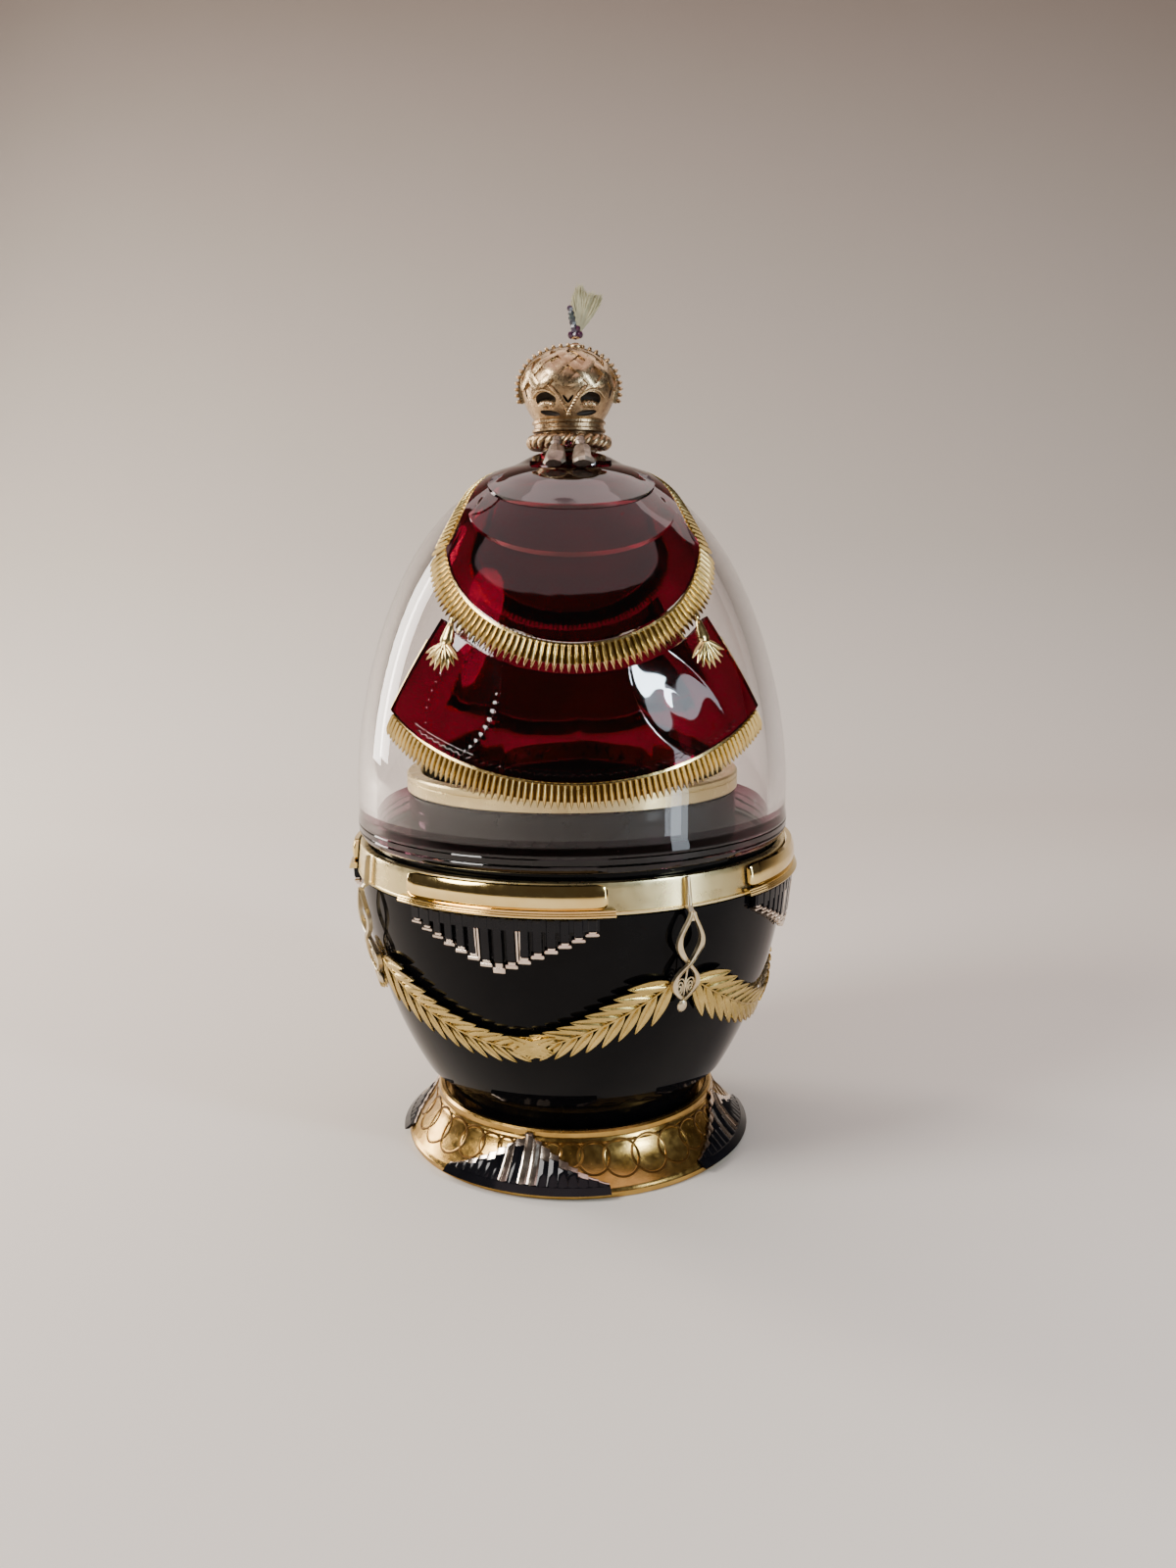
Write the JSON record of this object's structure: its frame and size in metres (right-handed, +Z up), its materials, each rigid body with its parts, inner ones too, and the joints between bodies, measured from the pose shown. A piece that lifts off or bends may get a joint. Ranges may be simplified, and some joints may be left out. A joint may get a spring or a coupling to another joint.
{
  "type": "jewelled egg",
  "caption": "Egg-shaped ornament with a black glass cup on a flared gilt foot, a clear lift-off dome dressed with ruby glass drapery and gilt fringes, and a crested finial.",
  "frame": {"origin": "centre of the foot's underside, where the egg rests", "axes": "+Z up through the finial, -Y towards the front that the picture shows, +X to the viewer's right"},
  "size_m": [0.0856, 0.0856, 0.1603],
  "materials": {
    "gilt": "polished",
    "foot_gilt": "polished",
    "pale_gilt": "satin",
    "silver": "satin",
    "black_glass": "gloss",
    "enamel": "gloss",
    "crystal": "clear",
    "ruby_glass": "gloss",
    "dark_stone": "polished",
    "feather": "soft"
  },
  "bodies": {
    "root": {"crystal_dome": "crystal", "cup": "black_glass", "cup_rim": "gilt", "drop_ornament_1": "pale_gilt", "drop_ornament_2": "pale_gilt", "drop_ornament_3": "pale_gilt", "drop_ornament_4": "pale_gilt", "finial_base": "gilt", "finial_cap": "gilt", "finial_plume": "feather", "finial_rope": "gilt", "finial_ruby": "ruby_glass", "finial_stem": "dark_stone", "finial_tassel_left": "silver", "finial_tassel_right": "silver", "foot_panel_1": "enamel", "foot_panel_2": "enamel", "foot_panel_3": "enamel", "foot_panel_4": "enamel", "foot_ring": "foot_gilt", "garland_1": "pale_gilt", "garland_2": "pale_gilt", "garland_3": "pale_gilt", "garland_4": "pale_gilt", "neck_ring": "gilt", "rim_plate_1": "gilt", "rim_plate_2": "gilt", "rim_plate_3": "gilt", "rim_plate_4": "gilt", "skirt_drape_back": "ruby_glass", "skirt_drape_front": "ruby_glass", "skirt_fringe_back": "gilt", "skirt_fringe_front": "gilt", "skirt_tassel_back_left": "gilt", "skirt_tassel_back_right": "gilt", "skirt_tassel_front_left": "gilt", "skirt_tassel_front_right": "gilt", "skirt_wire_back_left": "gilt", "skirt_wire_back_right": "gilt", "skirt_wire_front_left": "gilt", "skirt_wire_front_right": "gilt", "stepped_pendant_1": "enamel", "stepped_pendant_2": "enamel", "stepped_pendant_3": "enamel", "stepped_pendant_4": "enamel", "top_drape_back": "ruby_glass", "top_drape_front": "ruby_glass", "top_fringe_back": "gilt", "top_fringe_front": "gilt"}
  },
  "joints": []
}
